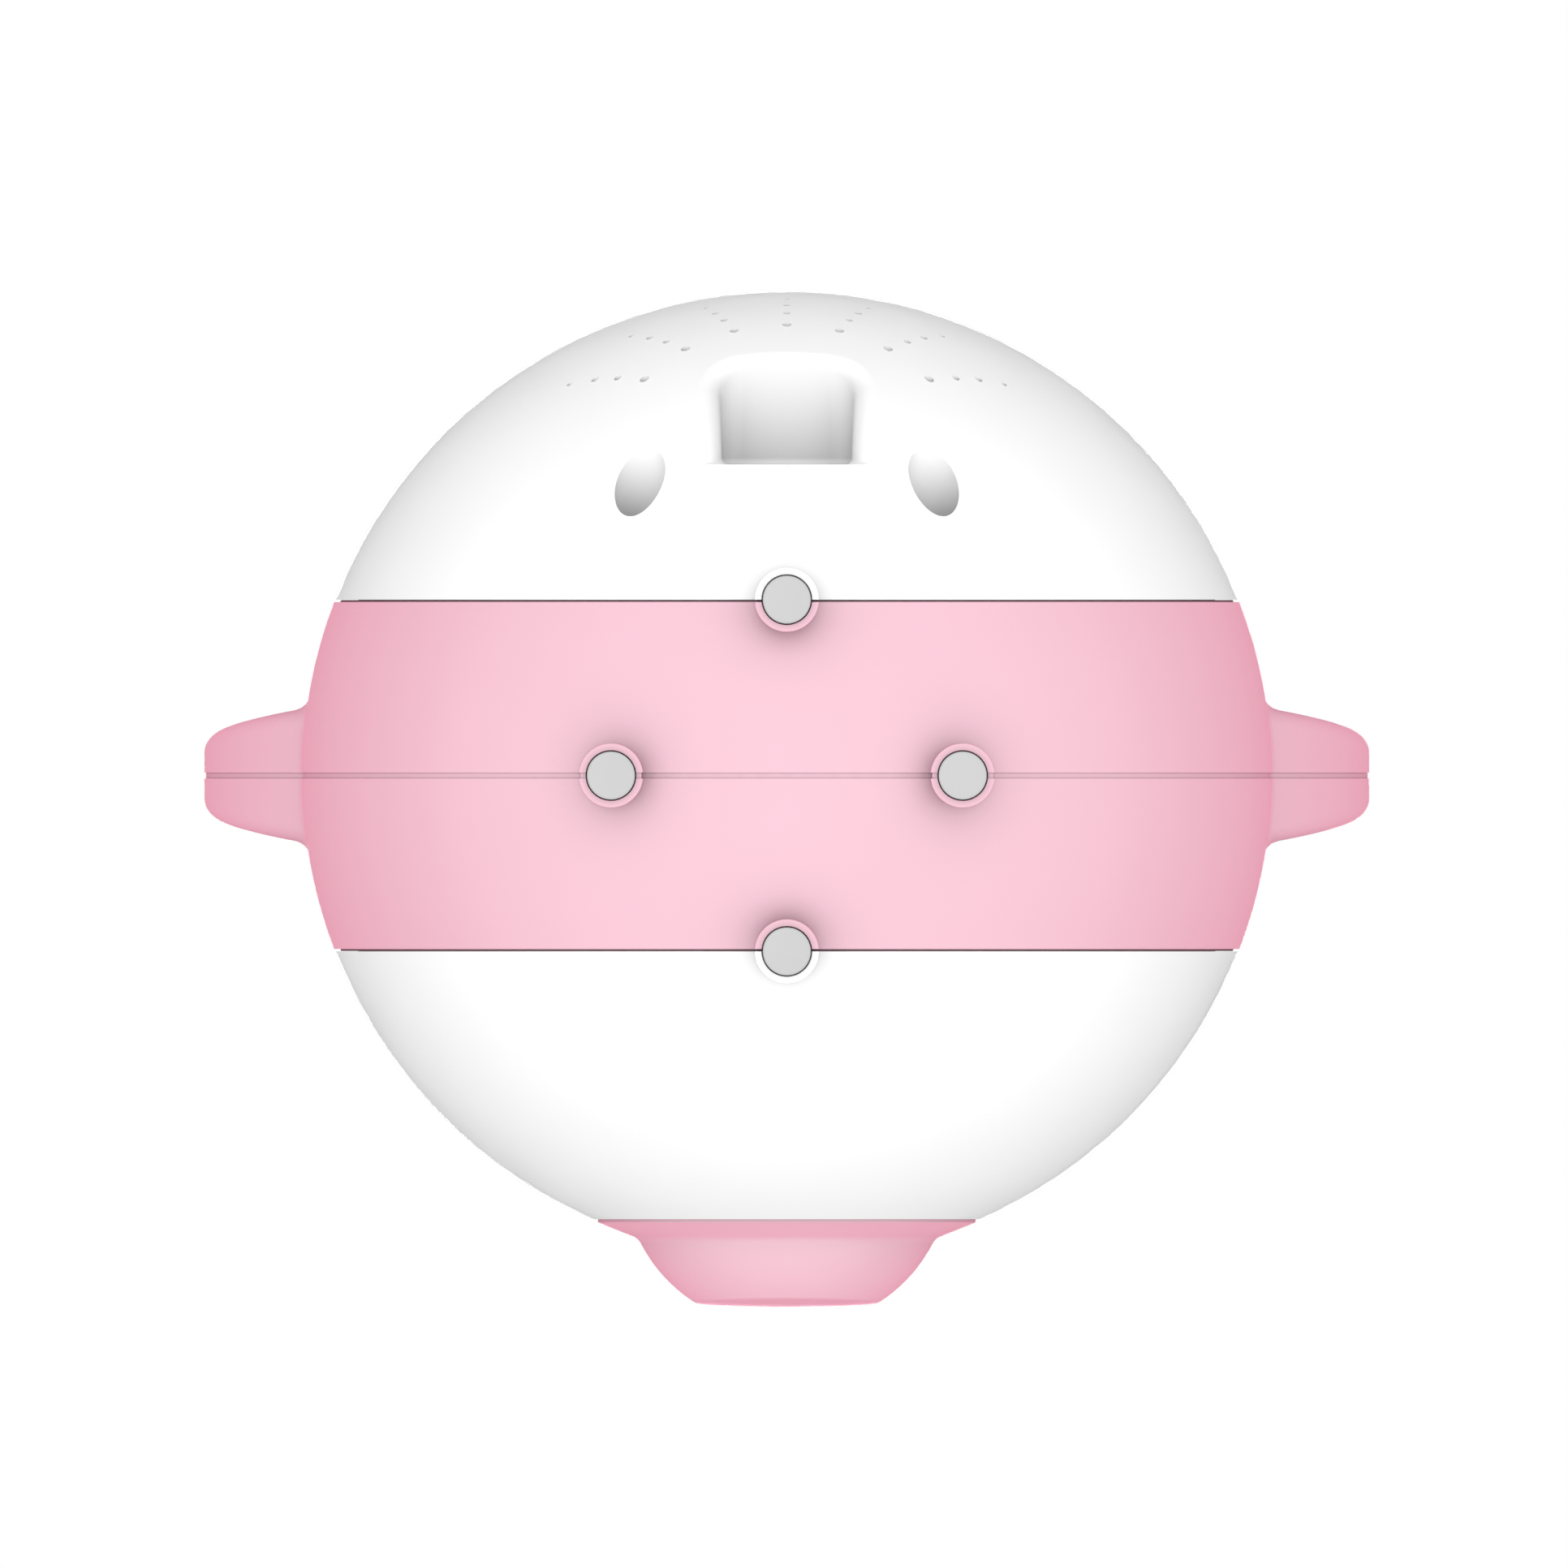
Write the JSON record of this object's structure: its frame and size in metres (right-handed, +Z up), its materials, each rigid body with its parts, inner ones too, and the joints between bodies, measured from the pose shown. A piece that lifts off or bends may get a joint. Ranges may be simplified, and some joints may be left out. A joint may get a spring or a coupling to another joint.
{
  "type": "educational coding robot",
  "caption": "Ball-shaped learning robot with two ears, a round snout and rubber feet; white caps on a pink band, charging recess at the back, speaker, battery and boards inside",
  "frame": {"origin": "centre of the bounding box in plan, on the plane that the four rubber feet stand on", "axes": "+Z up, snout towards -Y, charging recess towards +Y, ears along X"},
  "size_m": [0.1444, 0.1258, 0.1224],
  "materials": {
    "shell_white": "satin-gloss moulded ABS, slightly soft highlight",
    "shell_pink": "slightly translucent satin moulded plastic, pale pink",
    "eye_smoke": "polished smoked acrylic",
    "foot_rubber": "matt light grey silicone rubber",
    "screw_steel": "zinc-plated steel",
    "frame_grey": "moulded grey ABS",
    "battery_wrap": "blue shrink wrap",
    "board_green": "green solder mask",
    "shield_tin": "bright tinned sheet",
    "chip_black": "black moulding compound",
    "socket_white": "natural nylon",
    "speaker_steel": "black painted steel",
    "speaker_paper": "black coated paper",
    "gasket_foam": "closed-cell foam",
    "port_steel": "drawn stainless shell",
    "knob_black": "fine-textured black plastic",
    "button_white": "satin-gloss moulded ABS",
    "led_clear": "clear epoxy over a white base"
  },
  "bodies": {
    "shell": {"rear_cap": "shell_white", "front_cap": "shell_white", "nose": "shell_pink", "rear_band": "shell_pink", "front_band": "shell_pink", "eye_lens_left": "eye_smoke", "eye_lens_right": "eye_smoke", "foot_pad_front": "foot_rubber", "foot_pad_rear": "foot_rubber", "foot_pad_left": "foot_rubber", "foot_pad_right": "foot_rubber", "case_screws": "screw_steel", "chassis_screws": "screw_steel", "nose_screws": "screw_steel", "cradle_screws": "screw_steel", "strap_screws": "screw_steel", "main_board_screws": "screw_steel", "port_board_screws": "screw_steel", "crown_board_screws": "screw_steel", "eye_board_screws": "screw_steel", "speaker_screws": "screw_steel", "chassis": "frame_grey", "battery_cradle": "frame_grey", "battery_strap": "frame_grey", "battery_cell": "battery_wrap", "main_board": "board_green", "port_board": "board_green", "crown_board": "board_green", "eye_board": "board_green", "processor_shield": "shield_tin", "board_chips": "chip_black", "board_connectors": "socket_white", "speaker_frame": "speaker_steel", "speaker_magnet": "speaker_steel", "speaker_cone": "speaker_paper", "speaker_gasket": "gasket_foam", "charging_port": "port_steel", "charging_port_tongue": "chip_black", "power_switch_body": "chip_black", "crown_switch": "chip_black", "eye_leds": "led_clear"},
    "power_knob": {"power_switch_knob": "knob_black"},
    "crown_key": {"crown_button": "button_white", "crown_switch_plunger": "button_white"}
  },
  "joints": [
    {"name": "power_switch_slide", "type": "slide", "parent": "shell", "child": "power_knob", "axis": [1, 0, 0], "range_m": [0, 0.002]},
    {"name": "crown_button_press", "type": "slide", "parent": "shell", "child": "crown_key", "axis": [0, 0, -1], "range_m": [0, 0.0008], "stiffness_N_per_m": 1500, "springref_m": -0.0005}
  ]
}
